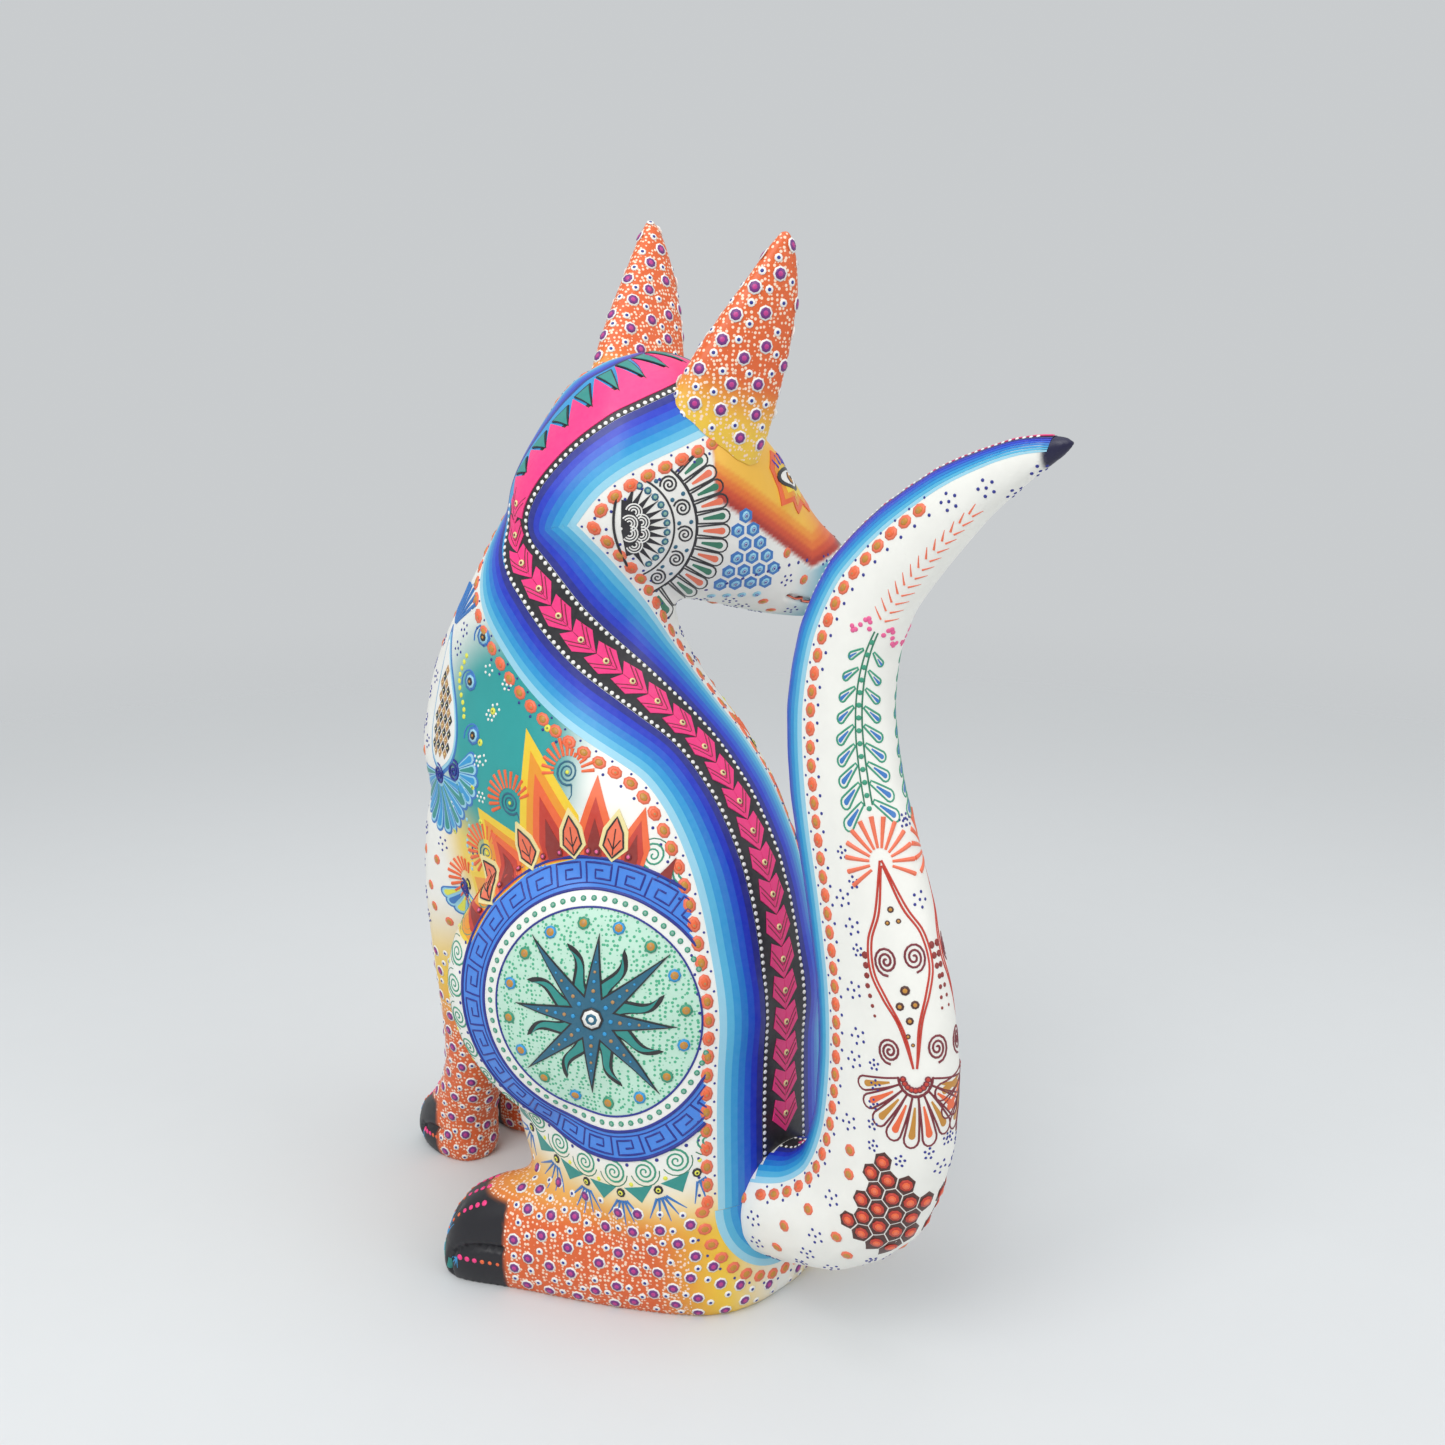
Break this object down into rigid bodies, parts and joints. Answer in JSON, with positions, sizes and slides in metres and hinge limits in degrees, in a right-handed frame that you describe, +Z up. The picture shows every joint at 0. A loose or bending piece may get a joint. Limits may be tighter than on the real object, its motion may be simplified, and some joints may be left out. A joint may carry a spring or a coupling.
{
  "type": "alebrije figure",
  "caption": "Seated coyote carved in copal wood and painted with dense patterns, its head turned back; the ears and the upturned tail plug in on wooden pegs.",
  "frame": {"origin": "bottom centre of the bounding box, on the surface the figure sits on", "axes": "+Z up; the animal's chest faces -Y, its left side is +X, and its tail rises at +Y"},
  "size_m": [0.189, 0.3106, 0.4047],
  "materials": {
    "painted_wood": "satin acrylic paint over a white ground",
    "dowel_wood": "bare turned wood"
  },
  "bodies": {
    "figure": {"torso": "painted_wood", "head": "painted_wood", "left_foreleg": "painted_wood", "right_foreleg": "painted_wood", "left_hind_leg": "painted_wood", "right_hind_leg": "painted_wood", "neck_dowel_front": "dowel_wood", "neck_dowel_rear": "dowel_wood", "left_shoulder_dowel": "dowel_wood", "right_shoulder_dowel": "dowel_wood", "left_hip_dowel": "dowel_wood", "right_hip_dowel": "dowel_wood", "left_knee_dowel": "dowel_wood", "right_knee_dowel": "dowel_wood"},
    "left_ear": {"left_ear": "painted_wood", "left_ear_peg": "dowel_wood"},
    "right_ear": {"right_ear": "painted_wood", "right_ear_peg": "dowel_wood"},
    "tail": {"tail": "painted_wood", "tail_peg": "dowel_wood"}
  },
  "joints": [
    {"name": "left_ear_pull", "type": "slide", "parent": "figure", "child": "left_ear", "axis": [-0.2952, -0.199, 0.9345], "range_m": [0, 0.018]},
    {"name": "right_ear_pull", "type": "slide", "parent": "figure", "child": "right_ear", "axis": [-0.1561, 0.32, 0.9345], "range_m": [0, 0.018]},
    {"name": "tail_pull", "type": "slide", "parent": "figure", "child": "tail", "axis": [0, 0.9553, 0.2955], "range_m": [0, 0.028]}
  ]
}
